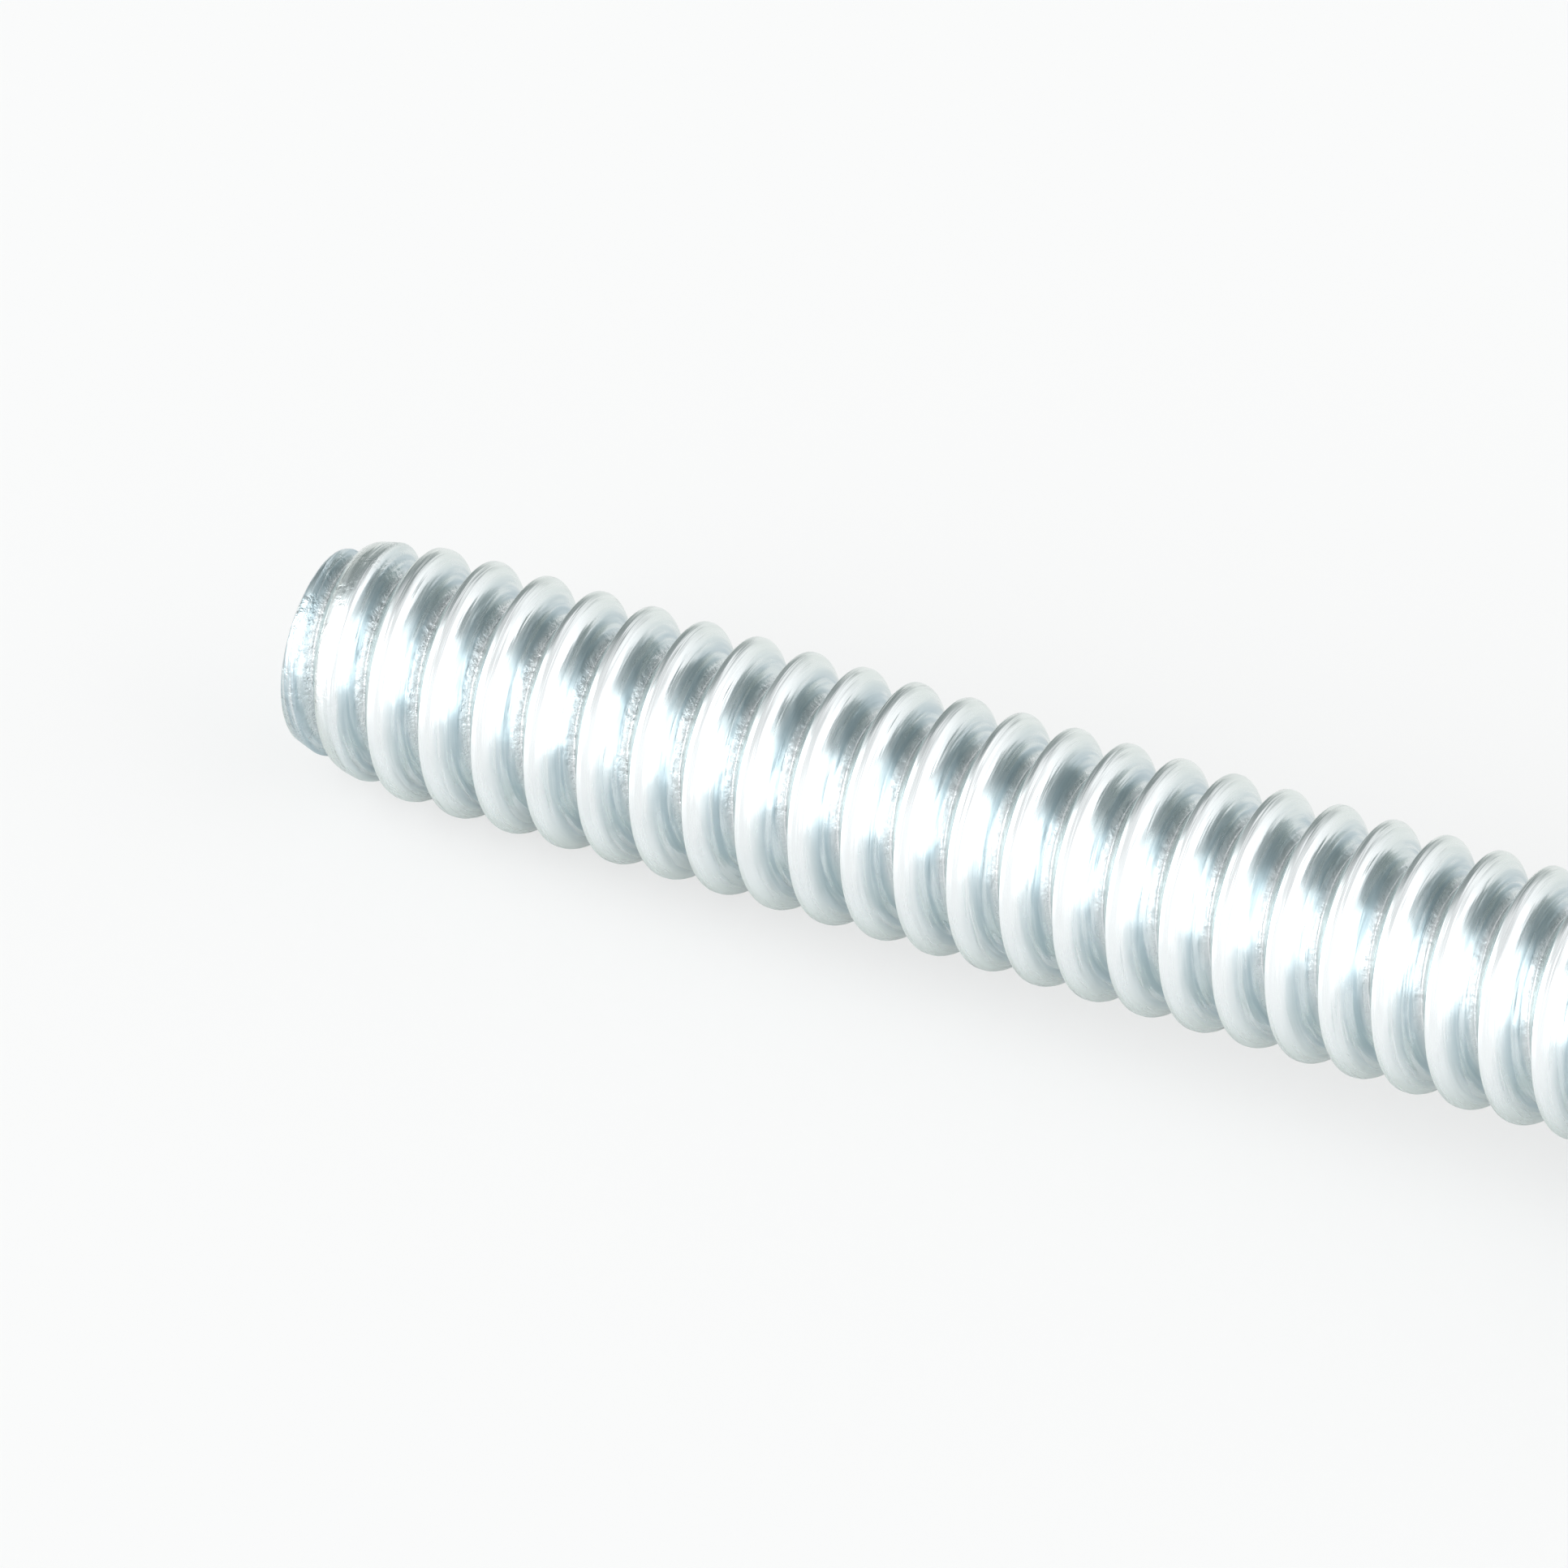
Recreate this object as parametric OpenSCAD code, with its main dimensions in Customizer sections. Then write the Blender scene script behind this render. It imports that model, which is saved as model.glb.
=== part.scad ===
// Fully threaded pan head machine screw with a cross recess, lying at rest on its
// thread and the rim of its head. +X runs from the point to the head, +Z is up.

/* [Length] */
// Length from the point to the underside of the head, mm
screw_length = 25.4; // [14:0.1:30]

/* [Thread] */
// Diameter over the crests of the thread, mm
thread_d = 3.45; // [3.1:0.05:4]
// Distance from one thread to the next, mm
thread_pitch = 0.79375; // [0.7:0.00625:0.9]
// Angle between the two flanks of a thread, degrees
flank_angle = 60; // [55:1:65]
// Width of a crest between its two flanks, mm
crest_width = 0.2; // [0.12:0.01:0.24]
// Width of a root between its two flanks, mm
root_width = 0.06; // [0.04:0.01:0.12]
// Height that the rolling leaves on the middle of a crest, mm
crest_rise = 0.045; // [0.02:0.005:0.06]
// How far the thread is turned round the axis, degrees
thread_turn = 75; // [0:5:355]

/* [Point] */
// Diameter of the flat end face, mm
point_d = 2.72; // [2.5:0.02:2.9]
// Length over which the thread grows to its full height, mm
point_length = 1.5; // [0.8:0.1:2.4]

/* [Neck] */
// Diameter of the plain neck under the head, mm
neck_d = 3; // [2.8:0.05:3.2]
// Length of the plain neck with its fillet, mm
neck_length = 1.3; // [1:0.1:2]
// Radius of the fillet where the neck meets the head, mm
fillet_r = 0.28; // [0.26:0.01:0.4]

/* [Head] */
// Diameter of the head, mm
head_d = 6.7; // [6:0.1:8]
// Height of the head at its middle, mm
head_h = 2.35; // [2.1:0.05:2.8]
// Radius that rounds the head's side into its top, mm
shoulder_r = 1.2; // [0.6:0.05:1.4]
// Radius of the dome across the top of the head, mm
dome_r = 7.5; // [6:0.1:12]
// Chamfer along the bearing rim, mm
rim_chamfer = 0.12; // [0.05:0.01:0.2]

/* [Cross recess] */
// Distance across two opposite wings at the top of the head, mm
recess_d = 4.2; // [3.6:0.1:4.6]
// Width of one wing, mm
wing_w = 0.76; // [0.5:0.02:0.95]
// Depth of the wings, mm
wing_depth = 1.5; // [1:0.05:1.6]
// Angle between a wing's outer end and the axis, degrees
wing_taper = 26; // [15:1:30]
// Depth of the blunt cone below the wings, mm
cone_depth = 0.35; // [0.1:0.05:0.5]
// Diameter of the round core where the wings meet, at the top of the head, mm
core_d = 1.9; // [1.3:0.1:2.2]
// Angle between the core's wall and the axis, degrees
core_taper = 10; // [3:1:12]

/* [Hidden] */
$fn = 96;

// Columns of points that one turn of the thread is drawn with.
COLUMNS = 30;
// Steps in one rounded stretch of a turned profile.
ARC_STEPS = 6;
// The thread runs on this far inside the neck, and is this much smaller there.
JOIN = 0.05;
// A cut runs on this far past the face that it opens.
PAST = 1;

thread_r = thread_d / 2;
point_r = point_d / 2;
neck_r = neck_d / 2;
head_r = head_d / 2;

// One pitch of the thread, as [distance along the axis, radius].
crest_edge_r = thread_r - crest_rise;
flank_run = (thread_pitch - crest_width - root_width) / 2;
root_r = crest_edge_r - flank_run / tan(flank_angle / 2);
PROFILE = [
    [0, root_r],
    [flank_run, crest_edge_r],
    [flank_run + crest_width / 2, thread_r],
    [flank_run + crest_width, crest_edge_r],
    [thread_pitch - root_width, root_r]
];
KINKS = len(PROFILE);
CLOSED_PROFILE = concat(PROFILE, [[thread_pitch, root_r]]);

neck_start = screw_length - neck_length;
thread_end = neck_start + JOIN;
last_kink = (ceil(thread_end / thread_pitch) + 1) * KINKS;

// Place along the axis of a kink in a column. The first turn is behind the point.
function kink_place(column, kink) =
    (floor(kink / KINKS) - 1 + column / COLUMNS) * thread_pitch + PROFILE[kink % KINKS][0];

// Radius of an endless thread at a place along a column.
function endless_radius(column, along) =
    let (turns = along / thread_pitch - column / COLUMNS)
    lookup((turns - floor(turns)) * thread_pitch, CLOSED_PROFILE);

// Largest radius that the rounded point leaves.
function point_limit(along) =
    thread_r - (thread_r - point_r) * pow(max(0, 1 - along / point_length), 2);

// Radius of the real thread, which fades into the neck over its last pitch.
function thread_radius(column, along) =
    let (
        faded_r = neck_r - JOIN,
        share = min(1, max(0, (neck_start - along) / thread_pitch))
    )
    min(point_limit(along), faded_r + share * (endless_radius(column, along) - faded_r));

// Kinks of each column that lie between the two end faces, and clear of both.
COLUMN_KINKS = [
    for (column = [0 : COLUMNS - 1]) [
        for (kink = [0 : last_kink])
            let (along = kink_place(column, kink))
            if (along > JOIN && along < neck_start) kink
    ]
];
// Number of the first point of each column. A column has a point on each end face too.
COLUMN_STARTS = [
    for (
        column = 0, total = 0;
        column < COLUMNS;
        total = total + len(COLUMN_KINKS[column]) + 2, column = column + 1
    ) total
];

function column_points(column) = [
    for (
        along = concat(
            [0],
            [for (kink = COLUMN_KINKS[column]) kink_place(column, kink)],
            [thread_end]
        )
    )
        let (r = thread_radius(column, along), angle = thread_turn + 360 * column / COLUMNS)
        [r * cos(angle), r * sin(angle), along]
];

// Number of a kink's point. Kinks past an end face share that face's point, and the
// column after the last is the first again, one pitch further on.
function point_number(column, kink) =
    let (
        own = column % COLUMNS,
        kinks = COLUMN_KINKS[own],
        step = kink + (column == own ? 0 : KINKS) - kinks[0] + 1
    )
    COLUMN_STARTS[own] + min(max(step, 0), len(kinks) + 1);

function is_triangle(face) = face[0] != face[1] && face[1] != face[2] && face[2] != face[0];

function column_faces(column) = [
    for (kink = [0 : last_kink - 1])
        let (
            low = point_number(column, kink),
            high = point_number(column, kink + 1),
            next_low = point_number(column + 1, kink),
            next_high = point_number(column + 1, kink + 1)
        )
        for (face = [[low, high, next_high], [low, next_high, next_low]])
            if (is_triangle(face)) face
];

// Right-hand thread with its rounded point, along +Z from the end face at 0.
module thread() {
    columns = [0 : COLUMNS - 1];
    point_face = [for (column = columns) COLUMN_STARTS[column]];
    neck_face = [
        for (column = [COLUMNS - 1 : -1 : 0])
            COLUMN_STARTS[column] + len(COLUMN_KINKS[column]) + 1
    ];
    polyhedron(
        points = [for (column = columns) each column_points(column)],
        faces = concat(
            [point_face, neck_face],
            [for (column = columns) each column_faces(column)]
        ),
        convexity = 10
    );
}

function arc(centre, r, from, to) = [
    for (step = [0 : ARC_STEPS])
        let (angle = from + (to - from) * step / ARC_STEPS)
        centre + r * [cos(angle), sin(angle)]
];

// Neck, fillet and head as one turned piece. The shoulder runs smoothly into the dome.
module neck_and_head() {
    dome_centre = [0, screw_length + head_h - dome_r];
    shoulder_x = head_r - shoulder_r;
    dome_angle = acos(shoulder_x / (dome_r - shoulder_r));
    shoulder_centre = dome_centre + (dome_r - shoulder_r) * [cos(dome_angle), sin(dome_angle)];
    fillet_centre = [neck_r + fillet_r, screw_length - fillet_r];
    rotate_extrude()
        polygon(concat(
            [[0, neck_start], [neck_r, neck_start]],
            arc(fillet_centre, fillet_r, 180, 90),
            [[head_r - rim_chamfer, screw_length], [head_r, screw_length + rim_chamfer]],
            arc(shoulder_centre, shoulder_r, 0, dome_angle),
            arc(dome_centre, dome_r, dome_angle, 90)
        ));
}

// Four tapered wings round a tapered core, with a blunt cone at the bottom.
module cross_recess() {
    top = screw_length + head_h;
    wing_floor = top - wing_depth;
    tip = wing_floor - cone_depth;
    wing_end_r = recess_d / 2;
    wing_floor_r = wing_end_r - wing_depth * tan(wing_taper);
    core_floor_r = core_d / 2 - (wing_depth + cone_depth) * tan(core_taper);
    height = wing_depth + cone_depth + PAST;
    intersection() {
        rotate_extrude()
            polygon([
                [0, tip],
                [wing_floor_r, wing_floor],
                [wing_end_r + PAST * tan(wing_taper), top + PAST],
                [0, top + PAST]
            ]);
        union() {
            for (turn = [0, 90])
                rotate(turn)
                    translate([-recess_d, -wing_w / 2, tip])
                        cube([2 * recess_d, wing_w, height]);
            translate([0, 0, tip])
                cylinder(h = height, r1 = core_floor_r, r2 = core_floor_r + height * tan(core_taper));
        }
    }
}

// Lays the screw down from +Z on to +X until crests and rim reach the ground together,
// and centres the box round it on the origin.
module laid_down() {
    lean = atan((head_r - thread_r) / (screw_length + rim_chamfer - point_length));
    low = (screw_length + rim_chamfer) * sin(lean) - head_r * cos(lean);
    rear = -point_r * sin(lean);
    front = (screw_length + head_h) * cos(lean);
    translate([-(rear + front) / 2, 0, -low])
        rotate([0, 90 - lean, 0])
            children();
}

module machine_screw() {
    color("silver")
        laid_down()
            difference() {
                union() {
                    thread();
                    neck_and_head();
                }
                cross_recess();
            }
}

machine_screw();
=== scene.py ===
import math

import bmesh
import bpy
from bpy.props import FloatProperty, FloatVectorProperty, IntProperty, PointerProperty
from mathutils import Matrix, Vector


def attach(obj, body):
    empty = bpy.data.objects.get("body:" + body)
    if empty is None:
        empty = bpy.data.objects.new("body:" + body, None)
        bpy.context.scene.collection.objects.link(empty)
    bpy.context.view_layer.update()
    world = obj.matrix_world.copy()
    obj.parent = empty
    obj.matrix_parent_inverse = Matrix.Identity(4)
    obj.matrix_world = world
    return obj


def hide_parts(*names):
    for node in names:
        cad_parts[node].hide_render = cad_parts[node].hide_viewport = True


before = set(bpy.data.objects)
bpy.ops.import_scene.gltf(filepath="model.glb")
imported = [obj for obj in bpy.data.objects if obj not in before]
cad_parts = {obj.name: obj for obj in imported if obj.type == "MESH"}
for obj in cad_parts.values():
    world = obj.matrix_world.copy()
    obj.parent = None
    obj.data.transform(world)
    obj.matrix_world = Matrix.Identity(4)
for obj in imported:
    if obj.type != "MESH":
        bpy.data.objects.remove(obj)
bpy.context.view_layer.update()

bl_info = {
    "name": "Machine screw",
    "version": (1, 0, 0),
    "blender": (4, 5, 0),
    "location": "3D View > Sidebar > Screw",
    "description": "Builds a rolled and zinc plated pan head machine screw on a pale studio floor",
    "category": "Add Mesh",
}

MM = 0.001
TURN = 2 * math.pi

# The map and the values that the model hands to its material.
UV_NAME = "rolled"
HEIGHT_NAME = "thread_height"
WEAR_NAME = "point_nearness"
# Painted shade on the flanks that face the head, and a duller zinc on the head, neck and end face.
DULL_AND_SHADE_NAME = "dull_and_flank_shade"

# Points closer than this are one point, after a modifier and after a cut.
MERGE = 1e-7
SLIVER = 2e-6
# The cutters of the recess stand past each other by this much.
CUT_MARGIN = 0.05 * MM
# The recess's own faces lie at least this far below the dome.
RECESS_START = 0.02 * MM
SMOOTH_ANGLE = math.radians(40)

# Rounding between the thread's crests and the point's taper.
POINT_BLEND = 0.06 * MM
# Rolling has pushed the point aside over this length, to this side.
DRIFT_LENGTH = 2.2 * MM
DRIFT_SIDE = math.radians(136)
# Points within this share of a pitch of either end are moved onto it.
SNAP_SHARE = 1 / 60
# Longest straight stretch of the thread's section and of the head's outline.
SECTION_STRETCH = 1 / 5
HEAD_STRETCH = 1 / 12
# Dish in the end face, as shares of its radius and, for the depth, of its edge's rounding.
DISH = ((0.8, 0.0), (0.6, 0.5), (0.3, 1.1), (0.0, 1.2))
END_FACE_SHARE = 0.9

# Turns over which the torn metal thins out behind the point.
WORN_TURNS = 11
# How much duller zinc the neck, head and end face get, as a share of the fullest painted shade on
# the flanks that face the head.
DULL_HEAD = 0.75
# Depth in the thread over which painted shade darkens a flank that faces the head, and then clears
# again at the root.
FLANK_SHADE_START, FLANK_SHADE_END = (0.1, 0.7), (0.75, 1.0)
FLANK_SHADE_ROOT_CLEARS = 0.35

# Ranges that the finish's values are mapped over: from low, from high, to low, to high.
ROOT_HEIGHT = (0.3, 0.0)
TORN_BY_WEAR = (0.0, 0.5, 0.3, 0.75)
TORN_POINT = (0.84, 0.97)
TORN_PATCHES = (0.4, 0.6)
# Patches of painted shade in the roots.
ROOT_SHADE_PATCHES = (0.3, 0.7, 0.5, 1.0)
GLANCE = (0.25, 0.65)
# Painted shade on the flanks: weaker near the crests and thinned in streaks.
SHADE_CLEARS_BY_HEIGHT = (0.6, 1.0, 0.4, 0.85)
STREAK_SHADE_RANGE = (0.35, 0.6)
STREAK_SPREAD, STREAK_ROUGH = (0.25, 0.75), (0.75, 1.35)
FLAKE_SPREAD, FLAKE_ROUGH = (0.3, 0.7), (0.5, 1.0)
# Waves beside the streaks: how much shorter, wider and higher they are.
WAVE_LENGTH, WAVE_WIDTH, WAVE_RELIEF = 0.5, 2.2, 2.0
PATCH_SIZE = 6

# Distance from the screw over which the floor's glow sets in, as the metal mirrors it.
FLOOR_FADE = (1.0 * MM, 8 * MM)
FLOOR_SIZE = 40
# Where in the room the light changes, by height or by nearness to the room's far end.
FAR_END = (-0.35, 0.9)
UNLIT_TOP = (1.1, 0.7)
UNLIT_LOW = (0.0, 0.4, 0.72, 1.0)
OVERHEAD = (1.0, 0.6)
SENSOR_MM = 36


# ------------------------------------------------------------------ settings

def length(name, description, mm, low=0.0):
    """A length that the panel shows in the scene's unit."""
    return FloatProperty(
        name=name,
        description=description,
        default=mm * MM,
        min=low,
        precision=5,
        subtype="DISTANCE",
        unit="LENGTH",
    )


def degrees(name, description, value):
    """An angle that is written in degrees here."""
    return FloatProperty(
        name=name,
        description=description,
        default=math.radians(value),
        subtype="ANGLE",
        unit="ROTATION",
    )


def share(name, description, value, high=1.0):
    """A plain factor from zero up."""
    return FloatProperty(
        name=name, description=description, default=value, min=0.0, max=high, subtype="FACTOR"
    )


def colour(name, description, value):
    """A linear red, green and blue."""
    return FloatVectorProperty(
        name=name, description=description, default=value, min=0.0, max=1.0, subtype="COLOR"
    )


class ScrewSizes(bpy.types.PropertyGroup):
    """Sizes of the screw, measured along and across its own axis"""

    screw_length: length("Length", "From the point to the underside of the head", 25.4)
    thread_d: length("Thread diameter", "Over the crests of the thread", 3.45)
    thread_pitch: length("Pitch", "From one thread to the next", 0.79375)
    flank_angle: degrees("Flank angle", "Between the two flanks of a thread", 58)
    crest_width: length("Crest width", "Flat that rolling leaves on a crest", 0.065)
    root_width: length("Root width", "Between the two flanks at a root", 0.03)
    crest_edge_r: length("Crest edge", "Radius of a crest's two edges", 0.02)
    slope_run: length("Slope run", "Gentle slope on a crest's side towards the head", 0.13)
    slope_drop: length("Slope drop", "How far that slope falls before the flank", 0.078)
    crest_r: length("Crest rounding", "Radius where that slope runs into the flank", 0.52)
    root_r: length("Root rounding", "Radius at the bottom edges of a root", 0.017)
    thread_turn: degrees("Thread turn", "Turns the thread round the axis", 75)
    point_d: length("Point diameter", "Across the end face", 2.72)
    point_length: length("Point length", "Over which the thread grows to full height", 1.5)
    point_taper: length("Point taper", "Over which the crests reach their full diameter", 2.9)
    point_drift: length("Point drift", "How far rolling has pushed the point off the axis", 0.05)
    point_edge: length("Point edge", "Rounding of the end face's edge", 0.06)
    neck_d: length("Neck diameter", "Plain neck under the head", 3.0)
    neck_length: length("Neck length", "Plain neck with its fillet", 1.3)
    fillet_r: length("Neck fillet", "Where the neck meets the head", 0.28)
    head_d: length("Head diameter", "Across the head", 6.7)
    head_h: length("Head height", "At the middle of the head", 2.35)
    shoulder_r: length("Shoulder", "Rounds the head's side into its top", 1.2)
    dome_r: length("Dome", "Radius across the top of the head", 7.5)
    rim_chamfer: length("Rim chamfer", "Along the bearing rim", 0.12)
    recess_d: length("Recess width", "Across two opposite wings", 4.2)
    wing_w: length("Wing width", "Width of one wing of the recess", 0.76)
    wing_depth: length("Wing depth", "Depth of the wings", 1.5)
    wing_taper: degrees("Wing taper", "Of a wing's outer end to the axis", 26)
    cone_depth: length("Cone depth", "Of the blunt cone below the wings", 0.35)
    core_d: length("Core diameter", "Round core where the wings meet", 1.9)
    core_taper: degrees("Core taper", "Of the core's wall to the axis", 10)
    thread_steps: IntProperty(
        name="Thread steps", description="Faces in one turn of the thread", default=88, min=24
    )


class ZincFinish(bpy.types.PropertyGroup):
    """Look of the plated surface, with painted shade in the roots and on the flanks that face the
    head
    """

    bright: colour("Zinc", "Colour of the plating seen straight on", (0.9, 0.94, 0.95))
    glancing: colour("Zinc at a slant", "Colour of the plating seen aslant", (0.75, 0.81, 0.79))
    # Painted shade on the flanks that face the head, darker towards their roots; on the head, neck
    # and end face a duller zinc.
    dull_zinc_and_flank_shade: colour("Dull zinc", "On the head and the flanks that face it", (0.47, 0.575, 0.62))
    # Painted shade in the roots of the thread, laid in patches.
    painted_root_shade: colour("Zinc in the roots", "Colour of the plating in the roots", (0.79, 0.82, 0.83))
    roughness: share("Roughness", "Of the smooth flanks and crests", 0.28)
    root_roughness: share("Root roughness", "Of the torn metal in the roots", 0.36)
    streak_length: length("Streak length", "Of the marks that the rolling dies leave", 1.6)
    streak_width: length("Streak width", "Of the marks that the rolling dies leave", 0.065)
    streak_relief: length("Streak relief", "Of the marks that the rolling dies leave", 0.018)
    tip_wear: share("Point wear", "How torn the first turn of the thread is", 0.6)
    flake_size: length("Flake size", "Of the torn flakes in the roots", 0.11)
    flake_relief: length("Flake relief", "Of the torn flakes in the roots", 0.06)


class StageSettings(bpy.types.PropertyGroup):
    """Floor, light and camera"""

    floor: colour("Floor", "Colour of the floor", (0.77, 0.78, 0.78))
    backdrop: colour("Backdrop", "Colour that the floor is lifted to", (0.995, 0.995, 0.992))
    floor_glow: share("Floor glow", "Lifts the floor to the colour of the backdrop", 0.62)
    mirror_glow: share("Floor glow in metal", "The same, where the screw mirrors the floor", 1.0)
    light: colour("Light", "Colour of the soft light", (1.0, 1.0, 1.0))
    strength: share("Light level", "Of the soft light in front of the screw", 1.06, high=3)
    zenith: share("Light level overhead", "Of the soft light right above", 0.8, high=3)
    left_azimuth: degrees("Left panel", "Turned from the camera's side", -86)
    left_elevation: degrees("Left panel height", "Above the floor", 25)
    left_reach: degrees("Left panel size", "From its middle to its faded edge", 46)
    left_level: share("Left panel light", "Light that it adds", 2.5, high=3)
    right_azimuth: degrees("Right panel", "Turned from the camera's side", 65)
    right_elevation: degrees("Right panel height", "Above the floor", 12)
    right_reach: degrees("Right panel size", "From its middle to its faded edge", 45)
    right_level: share("Right panel light", "Light that it adds", 0.8, high=3)
    right_light: share("Lit from the right", "How far back the light on the right reaches", 1.0)
    right_dark: share("Dark on the right", "Where the unlit end begins on the right", 0.1)
    unlit: colour("Unlit end", "Colour of the room behind the screw", (0.24, 0.272, 0.272))
    axis_slope: degrees("Slope in the view", "Of the screw's axis below the horizontal", 16.12)
    axis_lean: degrees("Lean to the camera", "Of the screw's axis out of the view's plane", 23.8)
    distance: length("Camera distance", "From the middle of the view", 850)
    view_width: length("View width", "Width that the camera sees at its target", 20.74)
    target_along: length("Target", "Along the axis, from the point to the view's middle", 6.9)
    target_below: length("Target drop", "Of the view's middle below the axis", 0.08)


# ------------------------------------------------------------------ hand tools

def deselect_all():
    """Leaves edit mode and selects nothing."""
    if bpy.context.object and bpy.context.object.mode != "OBJECT":
        bpy.ops.object.mode_set(mode="OBJECT")
    bpy.ops.object.select_all(action="DESELECT")


def edit(piece, select="NONE"):
    """Opens the piece in edit mode, with all or none of it selected."""
    deselect_all()
    piece.select_set(True)
    bpy.context.view_layer.objects.active = piece
    bpy.ops.object.mode_set(mode="EDIT")
    bpy.ops.mesh.select_mode(type="VERT")
    bpy.ops.mesh.select_all(action="SELECT" if select == "ALL" else "DESELECT")


def leave_edit():
    """Goes back to object mode."""
    bpy.ops.object.mode_set(mode="OBJECT")


def select_points(piece, wanted):
    """Selects the points that the test wants, in edit mode with nothing else selected."""
    edit(piece)
    leave_edit()
    mesh = piece.data
    mesh.polygons.foreach_set("select", [False] * len(mesh.polygons))
    mesh.edges.foreach_set("select", [False] * len(mesh.edges))
    mesh.vertices.foreach_set("select", [bool(wanted(v.co)) for v in mesh.vertices])
    bpy.ops.object.mode_set(mode="EDIT")


def single_point(name, place):
    """A new piece of one selected point, ready to be extruded."""
    deselect_all()
    bpy.ops.mesh.primitive_plane_add(size=MM, location=(0, 0, 0))
    piece = bpy.context.object
    piece.name = name
    bpy.ops.object.mode_set(mode="EDIT")
    bpy.ops.mesh.merge(type="CENTER")
    bpy.ops.transform.translate(value=place)
    return piece


def draw_line(name, places):
    """A line of points in the XZ plane, each one extruded from the last."""
    line = [Vector((x, 0, z)) for x, z in places]
    piece = single_point(name, line[0])
    for here, there in zip(line, line[1:]):
        bpy.ops.mesh.extrude_vertices_move(TRANSFORM_OT_translate={"value": there - here})
    leave_edit()
    return piece


def apply_modifier(piece, kind, **values):
    """Adds a modifier to the piece and applies it."""
    deselect_all()
    piece.select_set(True)
    bpy.context.view_layer.objects.active = piece
    modifier = piece.modifiers.new(kind.title(), kind)
    for key, value in values.items():
        setattr(modifier, key, value)
    bpy.ops.object.modifier_apply(modifier=modifier.name)


def cut_with(piece, cutter, operation):
    """Joins, cuts or trims the piece with a cutter, which is used up."""
    apply_modifier(piece, "BOOLEAN", object=cutter, operation=operation, solver="EXACT")
    bpy.data.objects.remove(cutter, do_unlink=True)


def arc(centre, radius, start, end, steps):
    """Points of an arc, from one angle to another."""
    angles = [start + (end - start) * step / steps for step in range(steps + 1)]
    return [centre + radius * Vector((math.cos(a), math.sin(a))) for a in angles]


def rounded_corner(before, corner, after, radius, steps):
    """Points of the arc that rounds the corner of a line."""
    back, on = (before - corner).normalized(), (after - corner).normalized()
    half = back.angle(on) / 2
    centre = corner + (back + on).normalized() * radius / math.sin(half)
    ends = [corner + side * radius / math.tan(half) - centre for side in (back, on)]
    start, end = (math.atan2(side.y, side.x) for side in ends)
    sweep = (end - start + math.pi) % TURN - math.pi
    return arc(centre, radius, start, start + sweep, steps)


def subdivided(points, longest):
    """The same line with its long stretches cut into equal parts."""
    line = [points[0]]
    for here, there in zip(points, points[1:]):
        parts = math.ceil((there - here).length / longest)
        line += [here.lerp(there, part / parts) for part in range(1, parts + 1)]
    return line


def smooth_step(value, low, high):
    """From 0 at low to 1 at high, with soft ends."""
    part = min(1.0, max(0.0, (value - low) / (high - low)))
    return part * part * (3 - 2 * part)


def smooth_least(a, b, blend):
    """The lesser of two values, with the corner between them rounded."""
    gap = max(blend - abs(a - b), 0.0) / blend
    return min(a, b) - gap * gap * blend / 4


# ------------------------------------------------------------------ thread

def thread_section(size):
    """One pitch of the thread from root to root, as (radius, along) with rounded corners."""
    crest, pitch = size.thread_d / 2, size.thread_pitch
    slant = math.tan(size.flank_angle / 2)
    taken = size.root_width + size.crest_width + size.slope_run - size.slope_drop * slant
    depth = (pitch - taken) / slant / 2
    root = crest - depth
    edge = size.root_width / 2
    crest_start = edge + depth * slant
    crest_end = crest_start + size.crest_width
    corners = [
        Vector(place)
        for place in (
            (root, 0.0),
            (root, edge),
            (crest, crest_start),
            (crest, crest_end),
            (crest - size.slope_drop, crest_end + size.slope_run),
            (root, pitch - edge),
            (root, pitch),
        )
    ]
    roundings = (
        (size.root_r, 2),
        (size.crest_edge_r, 3),
        (size.crest_edge_r, 2),
        (size.crest_r, 6),
        (size.root_r, 3),
    )
    line = [corners[0]]
    for number, (rounding, steps) in enumerate(roundings, start=1):
        line += rounded_corner(*corners[number - 1 : number + 2], rounding, steps)
    line.append(corners[-1])
    if any(there.y - here.y < SLIVER for here, there in zip(line, line[1:])):
        raise ValueError("two roundings of the thread's section run into each other")
    return subdivided(line, size.thread_pitch * SECTION_STRETCH)


def section_radius(section, along):
    """Radius of the section at a distance along one pitch."""
    for (low_r, low), (high_r, high) in zip(section, section[1:]):
        if along <= high:
            return low_r + (high_r - low_r) * (along - low) / (high - low)
    return section[-1][0]


def turns_along(size, along, angle):
    """Turns of the thread between its start and a place on the screw."""
    return (along + size.root_width / 2) / size.thread_pitch - (angle - size.thread_turn) / TURN


def turned_thread(size, section):
    """The section screwed round the axis, long enough to pass both ends of the thread."""
    piece = draw_line("thread", section)
    edit(piece, "ALL")
    start = -turns_along(size, 0, 0) * size.thread_pitch - size.thread_pitch
    bpy.ops.transform.translate(value=(0, 0, start))
    leave_edit()
    turns = math.ceil((size.screw_length - size.neck_length) / size.thread_pitch) + 2
    apply_modifier(
        piece,
        "SCREW",
        steps=size.thread_steps,
        render_steps=size.thread_steps,
        iterations=turns,
        screw_offset=size.thread_pitch,
        use_merge_vertices=True,
        merge_threshold=MERGE,
    )
    return piece


def end_radius(size, along):
    """Largest radius that the rolled point leaves at a distance along the axis."""
    left = max(0.0, 1 - along / size.point_taper)
    return (size.thread_d - (size.thread_d - size.point_d) * left**3) / 2


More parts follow.
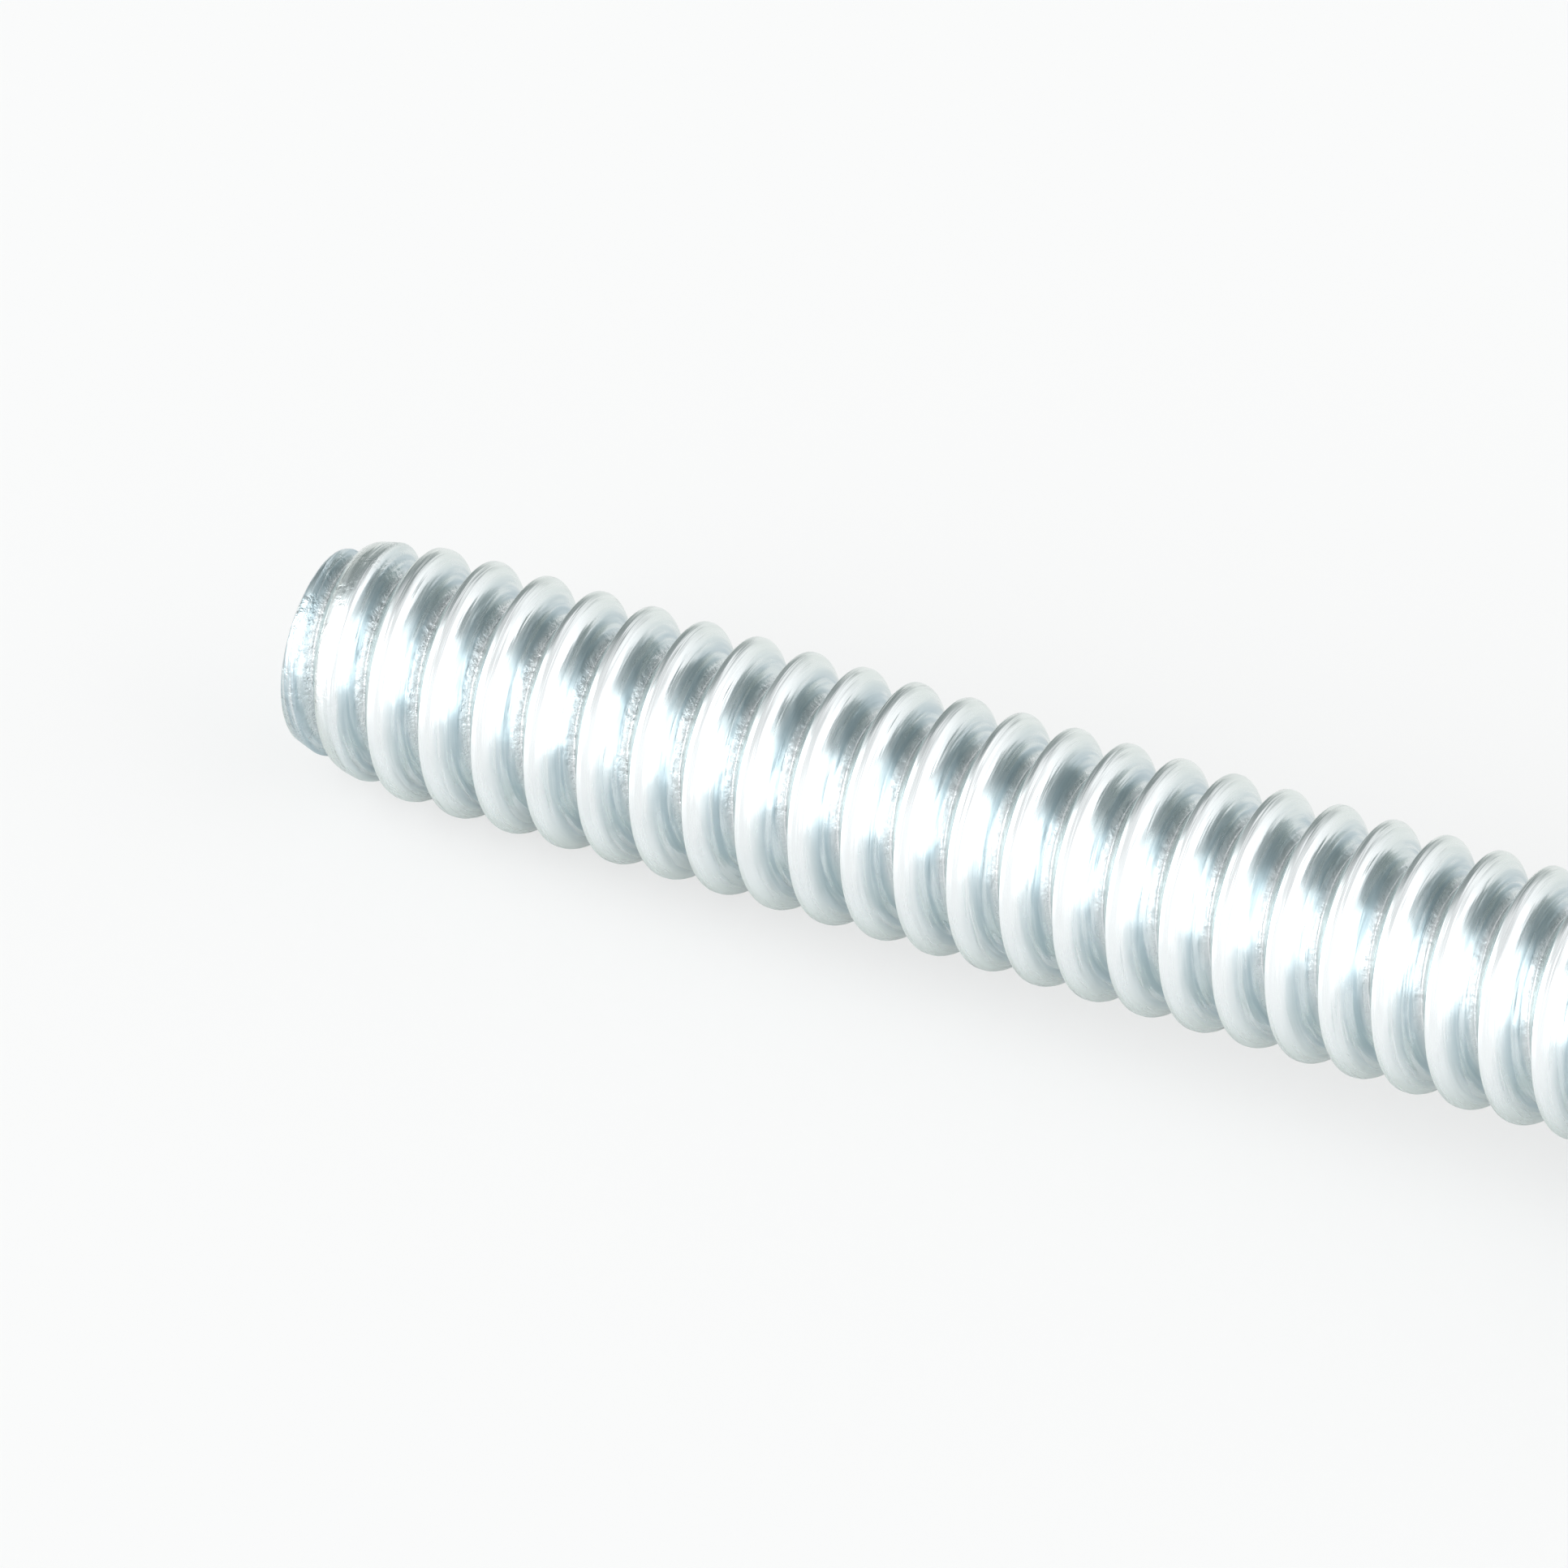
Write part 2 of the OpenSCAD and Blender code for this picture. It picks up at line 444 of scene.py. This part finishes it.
def shape_ends(piece, size, section):
    """Rolls the point and fades the thread into the neck, and squares both ends."""
    start, end = size.point_edge, size.screw_length - size.neck_length
    snap = size.thread_pitch * SNAP_SHARE
    neck_r = size.neck_d / 2
    for point in piece.data.vertices:
        x, y, along = point.co
        angle = math.atan2(y, x)
        along = start if along < start + snap else min(along, end)
        along = end if along > end - snap else along
        radius = section_radius(section, turns_along(size, along, angle) % 1 * size.thread_pitch)
        fade = smooth_step(end - along, 0, size.thread_pitch)
        radius = neck_r + (radius - neck_r) * fade
        radius = smooth_least(radius, end_radius(size, along), POINT_BLEND)
        drift = size.point_drift * smooth_step(along, DRIFT_LENGTH, 0)
        point.co = (
            radius * math.cos(angle) + drift * math.cos(DRIFT_SIDE),
            radius * math.sin(angle) + drift * math.sin(DRIFT_SIDE),
            along,
        )
    edit(piece, "ALL")
    bpy.ops.mesh.remove_doubles(threshold=MERGE)
    leave_edit()


def extrude_ring(growth, along, lift):
    """Draws the selected ring out into the next one, scaled about the axis."""
    bpy.ops.mesh.extrude_region_move()
    bpy.ops.transform.resize(value=(growth, growth, 1), center_override=(0, 0, along))
    bpy.ops.transform.translate(value=(0, 0, lift))


def close_ring():
    """Draws the selected ring together into one point."""
    bpy.ops.mesh.extrude_region_move()
    bpy.ops.mesh.merge(type="CENTER")


def draw_rings(piece, line):
    """Draws a ring out along a line of (radius, along) places, and closes it on the axis."""
    (here_r, here), rest = line[0], line[1:]
    select_points(piece, lambda co: abs(co.z - here) < MERGE)
    for there_r, there in rest:
        if there_r < MERGE:
            close_ring()
            bpy.ops.transform.translate(value=(0, 0, there - here))
        else:
            extrude_ring(there_r / here_r, here, there - here)
        here_r, here = there_r, there
    leave_edit()


def point_line(size):
    """The rounded edge of the end face and the shallow dish that rolling leaves in it."""
    edge, radius = size.point_edge, size.point_d / 2
    line = [Vector((radius, edge))]
    line += arc(Vector((radius - edge, edge)), edge, 0, -math.pi / 2, 3)[1:]
    return line + [Vector((radius * out, edge * deep)) for out, deep in DISH]


def head_line(size):
    """Neck, fillet, bearing face, side, shoulder and dome as (radius, along) places."""
    bearing, top = size.screw_length, size.screw_length + size.head_h
    neck_r, head_r = size.neck_d / 2, size.head_d / 2
    dome_centre = Vector((0, top - size.dome_r))
    shoulder_angle = math.acos((head_r - size.shoulder_r) / (size.dome_r - size.shoulder_r))
    toward = Vector((math.cos(shoulder_angle), math.sin(shoulder_angle)))
    shoulder_centre = dome_centre + (size.dome_r - size.shoulder_r) * toward
    fillet_centre = Vector((neck_r + size.fillet_r, bearing - size.fillet_r))
    rim = [
        Vector((head_r - 2 * size.rim_chamfer, bearing)),
        Vector((head_r, bearing)),
        Vector((head_r, bearing + 2 * size.rim_chamfer)),
    ]
    line = [Vector((neck_r, bearing - size.neck_length))]
    line += arc(fillet_centre, size.fillet_r, math.pi, math.pi / 2, 8)
    line += rounded_corner(*rim, size.rim_chamfer, 6)
    line += arc(shoulder_centre, size.shoulder_r, 0, shoulder_angle, 16)
    line += arc(dome_centre, size.dome_r, shoulder_angle, math.pi / 2, 14)[1:]
    line[-1].x = 0
    return subdivided(line, size.head_d * HEAD_STRETCH)


def cut_recess(piece, size):
    """Cuts the cross recess: a cone trimmed to four wings and a round core."""
    top = size.screw_length + size.head_h
    floor = top - size.wing_depth
    tip = floor - size.cone_depth
    rise = size.head_h
    taper = math.tan(size.wing_taper)
    wing_r = size.recess_d / 2
    cone = draw_line(
        "recess_cone",
        [
            (0, tip),
            (wing_r - size.wing_depth * taper, floor),
            (wing_r + rise * taper, top + rise),
            (0, top + rise),
        ],
    )
    apply_modifier(
        cone,
        "SCREW",
        steps=64,
        render_steps=64,
        use_merge_vertices=True,
        merge_threshold=MERGE,
    )
    tidy_solid(cone)
    core_floor = size.core_d / 2 - (top - tip) * math.tan(size.core_taper)
    cross = None
    for number, turn in enumerate((None, 0, math.pi / 2), start=1):
        past = number * CUT_MARGIN
        low, height = tip - past, top + rise - tip + 2 * past
        deselect_all()
        if turn is None:
            narrow = core_floor - past * math.tan(size.core_taper)
            bpy.ops.mesh.primitive_cone_add(
                vertices=32,
                radius1=narrow,
                radius2=narrow + height * math.tan(size.core_taper),
                depth=height,
                location=(0, 0, low + height / 2),
            )
            cross = bpy.context.object
            continue
        middle = (0, 0, low + height / 2)
        bpy.ops.mesh.primitive_cube_add(size=1, location=middle, rotation=(0, 0, turn))
        wing = bpy.context.object
        wing.scale = (2 * size.recess_d, size.wing_w, height)
        bpy.ops.object.transform_apply(location=True, rotation=True, scale=True)
        cut_with(cross, wing, "UNION")
    cut_with(cone, cross, "INTERSECT")
    cut_with(piece, cone, "DIFFERENCE")
    tidy_solid(piece, SLIVER)


def tidy_solid(piece, threshold=MERGE):
    """Merges doubles and points every face outwards."""
    edit(piece, "ALL")
    bpy.ops.mesh.remove_doubles(threshold=threshold)
    bpy.ops.mesh.normals_make_consistent(inside=False)
    leave_edit()


def dome_height(size, radius):
    """Distance along the axis at which the top of the head lies."""
    reach = math.sqrt(max(0.0, size.dome_r**2 - radius**2))
    return size.screw_length + size.head_h - size.dome_r + reach


def check_closed(piece):
    """Raises an error where a modelling step has left the piece open or inside out."""
    mesh = bmesh.new()
    mesh.from_mesh(piece.data)
    open_edges = sum(1 for edge in mesh.edges if not edge.is_manifold)
    volume = mesh.calc_volume(signed=True)
    mesh.free()
    if open_edges or volume <= 0:
        raise RuntimeError(f"{piece.name}: {open_edges} open edges, volume {volume:.3g}")


def unroll(piece, size):
    """Maps the surface as it was made: U runs along the marks and V across them."""
    mesh = piece.data
    neck_start = size.screw_length - size.neck_length
    uv = mesh.uv_layers.new(name=UV_NAME).data
    around = math.pi * size.neck_d
    for face in mesh.polygons:
        middle = face.center
        angle = math.atan2(middle.y, middle.x)
        reach = math.hypot(middle.x, middle.y)
        on_thread = 0 < middle.z < neck_start
        in_recess = (
            reach < size.recess_d / 2
            and size.screw_length < middle.z < dome_height(size, reach) - RECESS_START
        )
        turn = math.floor(turns_along(size, middle.z, angle)) if on_thread else 0
        for loop in face.loop_indices:
            x, y, along = mesh.vertices[mesh.loops[loop].vertex_index].co
            if in_recess:
                uv[loop].uv = (along, x + y)
                continue
            swing = (math.atan2(y, x) - angle + math.pi) % TURN - math.pi
            place = along + math.hypot(x, y)
            if on_thread:
                place = (turns_along(size, along, angle + swing) - turn) * size.thread_pitch
            uv[loop].uv = (((angle + swing) / TURN + turn) * around, place)


def mark_surface(piece, size, section):
    """Writes where the surface is deep in the thread, near the point, and how much of the dull
    colour it gets: painted shade on the flanks that face the head, a duller zinc on the head, neck
    and end face.
    """
    mesh = piece.data
    neck_start = size.screw_length - size.neck_length
    crest, root = size.thread_d / 2, section[0][0]
    height = mesh.attributes.new(HEIGHT_NAME, "FLOAT", "POINT").data
    wear = mesh.attributes.new(WEAR_NAME, "FLOAT", "POINT").data
    dull_zinc_and_flank_shade = mesh.attributes.new(DULL_AND_SHADE_NAME, "FLOAT", "POINT").data
    for point in mesh.vertices:
        x, y, along = point.co
        radius = math.hypot(x, y)
        number = point.index
        on_end = along < 2 * size.point_edge and radius < END_FACE_SHARE * size.point_d / 2
        if on_end or along > neck_start - MERGE:
            height[number].value, wear[number].value = 1.0, 0.0
            on_head = 1.0 if on_end else smooth_step(along, neck_start, size.screw_length)
            dull_zinc_and_flank_shade[number].value = DULL_HEAD * on_head
            continue
        depth = (crest - radius) / (crest - root)
        faces_head = turns_along(size, along, math.atan2(y, x)) % 1 > 0.5
        # Painted shade on the flanks that face the head, growing with depth and clearing again at
        # the root.
        shade_and_dull_amount = smooth_step(depth, *FLANK_SHADE_START) - FLANK_SHADE_ROOT_CLEARS * smooth_step(depth, *FLANK_SHADE_END)
        dull_zinc_and_flank_shade[number].value = shade_and_dull_amount if faces_head else 0.0
        height[number].value = min(1.0, 1 - depth)
        wear[number].value = max(0.0, 1 - along / (WORN_TURNS * size.thread_pitch))


def axis_and_point(size):
    """Direction of the lying screw's axis towards the head, and the middle of its end face."""
    head_r, thread_r = size.head_d / 2, size.thread_d / 2
    reach = size.screw_length + size.rim_chamfer
    lean = math.atan((head_r - thread_r) / (reach - size.point_length))
    rear = -size.point_d / 2 * math.sin(lean)
    front = (size.screw_length + size.head_h) * math.cos(lean)
    lift = head_r * math.cos(lean) - reach * math.sin(lean)
    return Vector((math.cos(lean), 0, math.sin(lean))), Vector((-(rear + front) / 2, 0, lift))


def lay_down(piece, size):
    """Lays the screw on its crests and its rim, as the solid lies."""
    axis, point = axis_and_point(size)
    deselect_all()
    piece.select_set(True)
    bpy.context.view_layer.objects.active = piece
    piece.rotation_euler = (0, math.acos(axis.z), 0)
    piece.location = point
    bpy.ops.object.transform_apply(location=True, rotation=True, scale=True)


# ------------------------------------------------------------------ finish

class Nodes:
    """Short ways to add and link the nodes of one tree."""

    def __init__(self, tree):
        self.tree = tree
        tree.nodes.clear()

    def add(self, kind, inputs=(), **settings):
        node = self.tree.nodes.new(kind)
        for key, value in settings.items():
            setattr(node, key, value)
        for key, value in dict(inputs).items():
            self.set(node.inputs[key], value)
        return node

    def set(self, socket, value):
        if isinstance(value, bpy.types.NodeSocket):
            self.tree.links.new(value, socket)
        else:
            socket.default_value = value

    def math(self, operation, a, b=0.0):
        return self.add("ShaderNodeMath", {0: a, 1: b}, operation=operation).outputs[0]

    def centred(self, value, span):
        """The value with its middle at nothing, times a span."""
        return self.math("MULTIPLY", self.math("SUBTRACT", value, 0.5), span)

    def vector(self, operation, a, b=(0, 0, 0), output=0):
        return self.add("ShaderNodeVectorMath", {0: a, 1: b}, operation=operation).outputs[output]

    def mapped(self, value, from_low, from_high, to_low=0.0, to_high=1.0):
        """The value mapped from one range to another, with soft ends."""
        inputs = {0: value, 1: from_low, 2: from_high, 3: to_low, 4: to_high}
        return self.add("ShaderNodeMapRange", inputs, interpolation_type="SMOOTHSTEP").outputs[0]

    def mix(self, factor, a, b):
        node = self.add("ShaderNodeMix", {0: factor, 6: a, 7: b}, data_type="RGBA")
        return node.outputs[2]

    def noise(self, vector, scale, detail=2.0, roughness=0.5):
        inputs = {"Vector": vector, "Scale": scale, "Detail": detail, "Roughness": roughness}
        return self.add("ShaderNodeTexNoise", inputs).outputs["Fac"]


def solid_colour(value):
    return (*value, 1.0)


def zinc_material(finish):
    """Bright zinc on rolled steel: long marks along the thread, and torn flakes in its roots.
    Painted shade darkens the roots, and the flanks that face the head towards their roots; the
    head is a duller zinc.
    """
    material = bpy.data.materials.new("bright_zinc")
    material.use_nodes = True
    nodes = Nodes(material.node_tree)
    rolled = nodes.add("ShaderNodeUVMap", uv_map=UV_NAME).outputs["UV"]
    place = nodes.add("ShaderNodeTexCoord").outputs["Object"]
    height, wear, dull_and_flank_shade = (
        nodes.add("ShaderNodeAttribute", attribute_name=name).outputs["Fac"]
        for name in (HEIGHT_NAME, WEAR_NAME, DULL_AND_SHADE_NAME)
    )

    def along(length, width):
        scale = (1 / length, 1 / width, 1)
        return nodes.add("ShaderNodeMapping", {"Vector": rolled, "Scale": scale}).outputs[0]

    streak, width = finish.streak_length, finish.streak_width
    streaks = nodes.noise(along(streak, width), 1.0, 2.0, 0.6)
    waves = nodes.noise(along(streak * WAVE_LENGTH, width * WAVE_WIDTH), 1.0, 1.0)
    flakes = nodes.noise(place, 1 / finish.flake_size, 3.0, 0.65)
    patches = nodes.noise(place, 1 / (PATCH_SIZE * finish.flake_size), 2.0)

    root = nodes.mapped(height, *ROOT_HEIGHT)
    torn = nodes.math("MULTIPLY", root, nodes.mapped(wear, *TORN_BY_WEAR))
    point = nodes.mapped(wear, *TORN_POINT)
    point = nodes.math("MULTIPLY", point, nodes.mapped(patches, *TORN_PATCHES))
    torn = nodes.math("MAXIMUM", torn, nodes.math("MULTIPLY", point, finish.tip_wear))

    facing = nodes.add("ShaderNodeLayerWeight", {"Blend": 0.5}).outputs["Facing"]
    glance = nodes.mapped(facing, *GLANCE)
    bright = nodes.mix(glance, solid_colour(finish.bright), solid_colour(finish.glancing))
    clearest = nodes.mapped(height, *SHADE_CLEARS_BY_HEIGHT)
    # Painted shade on the flanks that face the head, thinned in streaks, together with the duller
    # zinc of the head.
    shade_and_dull_amount = nodes.mapped(streaks, *STREAK_SHADE_RANGE, clearest, 1.0)
    shade_and_dull_amount = nodes.math("MULTIPLY", dull_and_flank_shade, shade_and_dull_amount)
    zinc_with_dull_and_shade = nodes.mix(shade_and_dull_amount, bright, solid_colour(finish.dull_zinc_and_flank_shade))
    # Painted shade in the roots, in patches.
    root_shade_mask = nodes.math("MULTIPLY", root, nodes.mapped(patches, *ROOT_SHADE_PATCHES))
    base = nodes.mix(root_shade_mask, zinc_with_dull_and_shade, solid_colour(finish.painted_root_shade))

    rolled_rough = (finish.roughness * part for part in STREAK_ROUGH)
    torn_rough = (finish.root_roughness * part for part in FLAKE_ROUGH)
    rolled_rough = nodes.mapped(streaks, *STREAK_SPREAD, *rolled_rough)
    torn_rough = nodes.mapped(flakes, *FLAKE_SPREAD, *torn_rough)
    rough = nodes.add("ShaderNodeMix", {0: torn, 2: rolled_rough, 3: torn_rough}).outputs[0]

    marks = nodes.centred(streaks, finish.streak_relief)
    swells = nodes.centred(waves, finish.streak_relief * WAVE_RELIEF)
    tears = nodes.math("MULTIPLY", nodes.centred(flakes, finish.flake_relief), torn)
    relief = nodes.math("ADD", nodes.math("ADD", marks, swells), tears)
    bump = nodes.add("ShaderNodeBump", {"Height": relief, "Strength": 1.0, "Distance": 1.0})

    shader = nodes.add(
        "ShaderNodeBsdfPrincipled",
        {
            "Base Color": base,
            "Metallic": 1.0,
            "Roughness": rough,
            "Normal": bump.outputs[0],
        },
    )
    nodes.add("ShaderNodeOutputMaterial", {"Surface": shader.outputs[0]})
    return material


# ------------------------------------------------------------------ stage

def floor_material(stage, half_length):
    """Matt pale floor. Its glow lifts it to the backdrop's white, and keeps the shadow."""
    material = bpy.data.materials.new("studio_floor")
    material.use_nodes = True
    nodes = Nodes(material.node_tree)
    matt = nodes.add("ShaderNodeBsdfDiffuse", {"Color": solid_colour(stage.floor)}).outputs[0]
    glow = nodes.add("ShaderNodeEmission", {"Color": solid_colour(stage.backdrop)}).outputs[0]
    path = nodes.add("ShaderNodeLightPath").outputs
    place = nodes.add("ShaderNodeTexCoord").outputs["Object"]
    outer = nodes.vector("ABSOLUTE", place)
    outer = nodes.vector("SUBTRACT", outer, (half_length, 0, 0))
    outer = nodes.vector("MAXIMUM", outer)
    away = nodes.vector("LENGTH", outer, output="Value")
    mirror_glow = nodes.mapped(away, *FLOOR_FADE, 0.0, stage.mirror_glow)
    mirrored = nodes.math("MULTIPLY", path["Is Glossy Ray"], mirror_glow)
    seen = nodes.math("MULTIPLY", path["Is Camera Ray"], stage.floor_glow)
    lifted = nodes.math("MAXIMUM", seen, mirrored)
    shader = nodes.add("ShaderNodeMixShader", {0: lifted, 1: matt, 2: glow}).outputs[0]
    nodes.add("ShaderNodeOutputMaterial", {"Surface": shader})
    return material


def studio_world(stage, right, toward):
    """Pale soft room with two brighter panels, and an unlit end behind the screw."""
    world = bpy.data.worlds.new("studio")
    bpy.context.scene.world = world
    world.use_nodes = True
    nodes = Nodes(world.node_tree)
    front = Vector((toward.x, toward.y, 0)).normalized()
    direction = nodes.add("ShaderNodeTexCoord").outputs["Generated"]
    height = nodes.add("ShaderNodeSeparateXYZ", {0: direction}).outputs["Z"]
    level = nodes.vector("NORMALIZE", nodes.vector("MULTIPLY", direction, (1, 1, 0)))

    def share_along(vector, axis):
        return nodes.vector("DOT_PRODUCT", vector, axis, output="Value")

    def panel(azimuth, elevation, reach):
        """Nearness to a place in the room, given as the camera sees it."""
        flat = front * math.cos(azimuth) + right * math.sin(azimuth)
        middle = flat * math.cos(elevation) + Vector((0, 0, math.sin(elevation)))
        nearness = share_along(direction, middle)
        return nodes.mapped(nearness, math.cos(reach), math.cos(reach / 2))

    dark = nodes.mapped(share_along(level, -front), *FAR_END)
    for part in (
        nodes.mapped(share_along(level, right), stage.right_light, stage.right_dark),
        nodes.mapped(height, *UNLIT_TOP),
        nodes.mapped(height, *UNLIT_LOW),
    ):
        dark = nodes.math("MULTIPLY", dark, part)
    power = nodes.mapped(height, *OVERHEAD, stage.zenith, stage.strength)
    for azimuth, elevation, reach, level_there in (
        (stage.left_azimuth, stage.left_elevation, stage.left_reach, stage.left_level),
        (stage.right_azimuth, stage.right_elevation, stage.right_reach, stage.right_level),
    ):
        extra = nodes.math("MULTIPLY", panel(azimuth, elevation, reach), level_there)
        power = nodes.math("ADD", power, extra)
    lit, unlit = solid_colour(stage.light), solid_colour(stage.unlit)
    room = nodes.mix(dark, lit, unlit)
    seen = nodes.add("ShaderNodeLightPath").outputs["Is Camera Ray"]
    shown = nodes.mix(seen, room, solid_colour(stage.backdrop))
    power = nodes.add("ShaderNodeMix", {0: seen, 2: power, 3: 1.0}).outputs[0]
    background = nodes.add("ShaderNodeBackground", {"Color": shown, "Strength": power})
    nodes.add("ShaderNodeOutputWorld", {"Surface": background.outputs[0]})


def camera_basis(stage, axis):
    """Right, up and toward of the camera that sees the axis slope and lean as set."""
    lean, slope = stage.axis_lean, stage.axis_slope
    right_part = math.cos(lean) * math.cos(slope)
    up_part = -math.cos(lean) * math.sin(slope)
    near_part = math.sin(lean)
    flat = math.hypot(axis.x, axis.y)
    azimuth = math.atan2(axis.y, axis.x) - math.asin(right_part / flat)
    ahead = flat * math.cos(azimuth - math.atan2(axis.y, axis.x))
    elevation = math.atan2(axis.z, ahead) + math.atan2(-up_part, near_part)
    toward = Vector(
        (
            math.cos(elevation) * math.cos(azimuth),
            math.cos(elevation) * math.sin(azimuth),
            math.sin(elevation),
        )
    )
    right = Vector((-math.sin(azimuth), math.cos(azimuth), 0))
    return right, toward.cross(right), toward


def place_camera(stage, axis, point):
    """Adds the camera, and gives its right and the direction towards it."""
    right, up, toward = camera_basis(stage, axis)
    across = (up - axis * up.dot(axis)).normalized()
    target = point + axis * stage.target_along - across * stage.target_below
    data = bpy.data.cameras.new("camera")
    data.sensor_width = SENSOR_MM
    data.lens = SENSOR_MM * stage.distance / stage.view_width
    data.clip_start, data.clip_end = stage.distance / 100, 100
    camera = bpy.data.objects.new("camera", data)
    bpy.context.collection.objects.link(camera)
    camera.location = target + toward * stage.distance
    camera.rotation_euler = toward.to_track_quat("Z", "Y").to_euler()
    bpy.context.scene.camera = camera
    return right, toward


# ------------------------------------------------------------------ operators

class SCREW_OT_machine_screw(bpy.types.Operator):
    """Models the machine screw and lays it where the solid lies"""

    bl_idname = "screw.machine_screw"
    bl_label = "Machine screw"

    def execute(self, context):
        size, finish = context.scene.screw_sizes, context.scene.zinc_finish
        section = thread_section(size)
        piece = turned_thread(size, section)
        shape_ends(piece, size, section)
        draw_rings(piece, point_line(size))
        draw_rings(piece, head_line(size))
        tidy_solid(piece)
        cut_recess(piece, size)
        check_closed(piece)
        unroll(piece, size)
        mark_surface(piece, size, section)
        lay_down(piece, size)
        piece.name = "machine_screw_rolled"
        piece.data.materials.clear()
        piece.data.materials.append(zinc_material(finish))
        bpy.ops.object.shade_smooth_by_angle(angle=SMOOTH_ANGLE)
        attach(piece, "root")
        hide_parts("machine_screw")
        return {"FINISHED"}


class SCREW_OT_stage(bpy.types.Operator):
    """Adds the floor, the light and the camera"""

    bl_idname = "screw.stage"
    bl_label = "Stage"

    def execute(self, context):
        stage, size = context.scene.screw_stage, context.scene.screw_sizes
        deselect_all()
        bpy.ops.mesh.primitive_plane_add(size=FLOOR_SIZE, location=(0, 0, 0))
        floor = context.object
        floor.name = "floor"
        floor.data.materials.append(floor_material(stage, size.screw_length / 2))
        axis, point = axis_and_point(size)
        right, toward = place_camera(stage, axis, point)
        studio_world(stage, right, toward)
        if not context.scene.camera:
            raise RuntimeError("the stage has no camera")
        return {"FINISHED"}


class SCREW_PT_panel(bpy.types.Panel):
    """Sizes, finish and stage of the machine screw"""

    bl_label = "Machine screw"
    bl_idname = "SCREW_PT_panel"
    bl_space_type = "VIEW_3D"
    bl_region_type = "UI"
    bl_category = "Screw"

    def draw(self, context):
        scene = context.scene
        for operator, group in (
            (SCREW_OT_machine_screw, scene.screw_sizes),
            (None, scene.zinc_finish),
            (SCREW_OT_stage, scene.screw_stage),
        ):
            box = self.layout.box()
            if operator:
                box.operator(operator.bl_idname)
            for name in group.__annotations__:
                box.prop(group, name)


CLASSES = (
    ScrewSizes,
    ZincFinish,
    StageSettings,
    SCREW_OT_machine_screw,
    SCREW_OT_stage,
    SCREW_PT_panel,
)


def register():
    for item in CLASSES:
        bpy.utils.register_class(item)
    bpy.types.Scene.screw_sizes = PointerProperty(type=ScrewSizes)
    bpy.types.Scene.zinc_finish = PointerProperty(type=ZincFinish)
    bpy.types.Scene.screw_stage = PointerProperty(type=StageSettings)


def unregister():
    del bpy.types.Scene.screw_stage
    del bpy.types.Scene.zinc_finish
    del bpy.types.Scene.screw_sizes
    for item in reversed(CLASSES):
        bpy.utils.unregister_class(item)


def main():
    register()
    bpy.context.scene.view_settings.view_transform = "Standard"
    bpy.ops.screw.machine_screw()
    bpy.ops.screw.stage()


if __name__ == "__main__":
    main()
